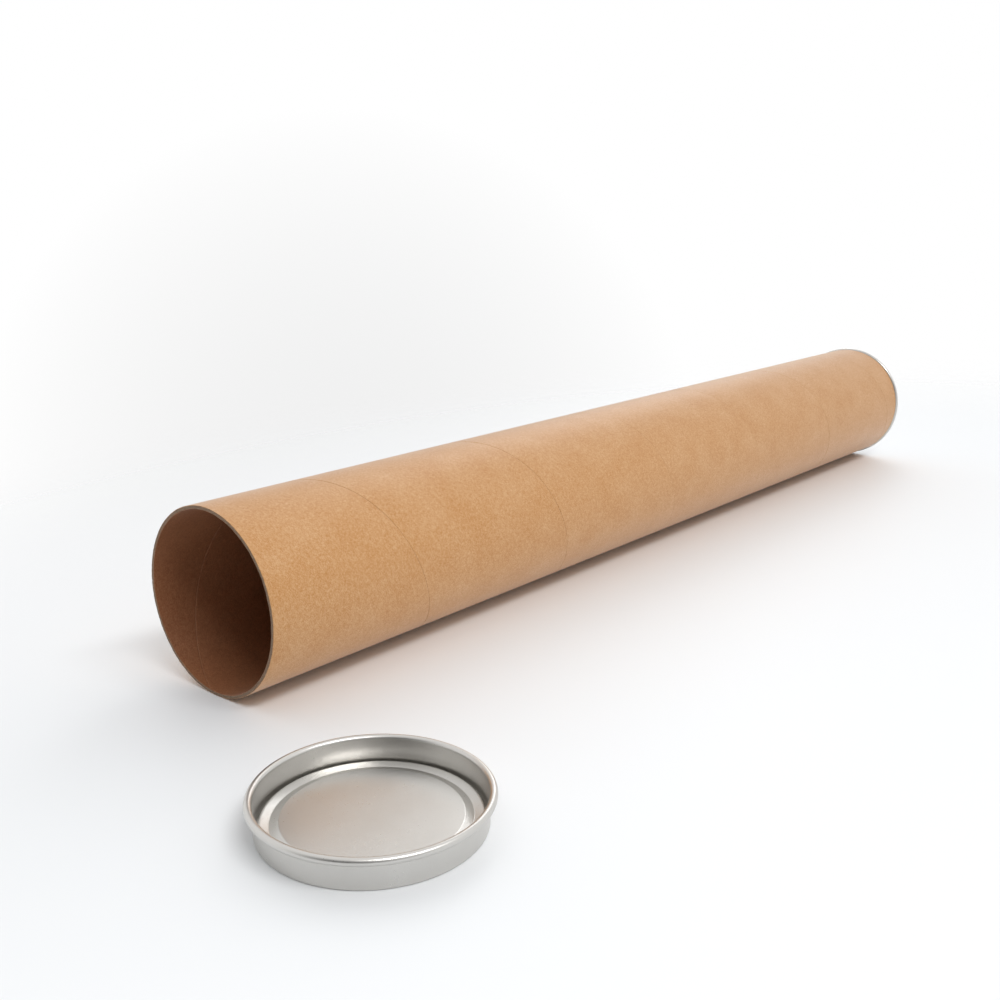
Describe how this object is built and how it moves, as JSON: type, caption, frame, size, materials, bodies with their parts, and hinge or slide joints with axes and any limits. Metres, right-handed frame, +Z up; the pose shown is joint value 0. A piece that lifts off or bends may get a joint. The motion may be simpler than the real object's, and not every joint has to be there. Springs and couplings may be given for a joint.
{
  "type": "cardboard mailing tube",
  "caption": "Spiral-wound kraft cardboard mailing tube lying on its side, with a pressed tinplate push-in cap in its far end and its mouth's cap off beside it.",
  "frame": {"origin": "middle of the footprint, on the surface that the tube and the loose cap lie on", "axes": "+X along the tube from its open mouth to its capped end (the axis rises 0.09 degrees that way, because the far cap's rim stands proud), +Y across the tube, away from the loose cap, +Z up"},
  "size_m": [0.8384, 0.2532, 0.1023],
  "materials": {
    "kraft_board": "matte kraft paper",
    "tinplate": "satin tinplate"
  },
  "bodies": {
    "tube": {"tube": "kraft_board", "loose_cap": "tinplate"},
    "far_cap": {"far_cap": "tinplate"}
  },
  "joints": [
    {"name": "far_cap_pull", "type": "slide", "parent": "tube", "child": "far_cap", "axis": [1, 0, 0.0015], "range_m": [0, 0.05]}
  ]
}
